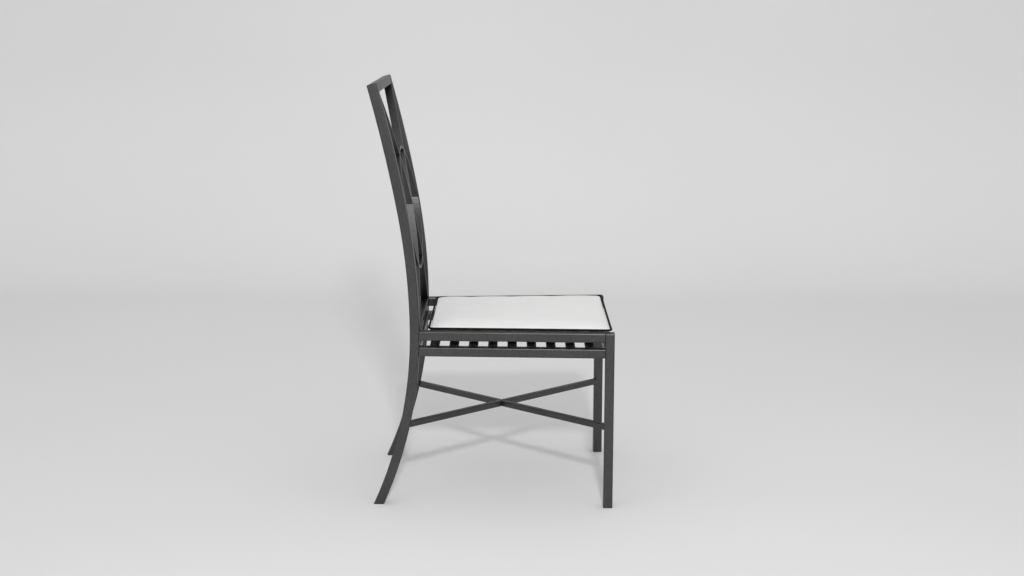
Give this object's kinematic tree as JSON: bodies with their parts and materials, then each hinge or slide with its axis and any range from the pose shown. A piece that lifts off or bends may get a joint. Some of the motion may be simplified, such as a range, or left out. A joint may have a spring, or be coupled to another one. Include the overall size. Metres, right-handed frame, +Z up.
{
  "type": "side chair",
  "caption": "Armless dining side chair: square metal tube frame with swept rear legs, curved lattice back, slatted seat and a loose piped pad.",
  "frame": {"origin": "on the floor, under the middle of the chair's overall box", "axes": "+X to the sitter's left when seated, +Y toward the back of the chair, +Z up"},
  "size_m": [0.451, 0.5698, 0.9975],
  "materials": {
    "metal": "satin charcoal powder coat",
    "glide": "matte",
    "cover": "fine plain weave",
    "piping": "fine weave over cord"
  },
  "bodies": {
    "frame": {"front_leg_left": "metal", "front_leg_right": "metal", "rear_leg_left": "metal", "rear_leg_right": "metal", "side_rail_upper_left": "metal", "side_rail_upper_right": "metal", "side_rail_lower_left": "metal", "side_rail_lower_right": "metal", "rear_rail_upper": "metal", "rear_rail_lower": "metal", "front_rail": "metal", "top_rail": "metal", "seat_slat_1": "metal", "seat_slat_2": "metal", "seat_slat_3": "metal", "seat_slat_4": "metal", "seat_slat_5": "metal", "seat_slat_6": "metal", "seat_slat_7": "metal", "seat_slat_8": "metal", "seat_slat_9": "metal", "stretcher_long": "metal", "stretcher_half_front": "metal", "stretcher_half_rear": "metal", "back_diagonal_left": "metal", "back_diagonal_right": "metal", "back_arch_upper": "metal", "back_arch_lower": "metal", "glide_front_left": "glide", "glide_front_right": "glide", "glide_rear_left": "glide", "glide_rear_right": "glide"},
    "cushion": {"seat_cushion": "cover", "piping_top": "piping", "piping_bottom": "piping"}
  },
  "joints": [
    {"name": "cushion_lift", "type": "slide", "parent": "frame", "child": "cushion", "axis": [0, 0, 1], "range_m": [0, 0.08]}
  ]
}
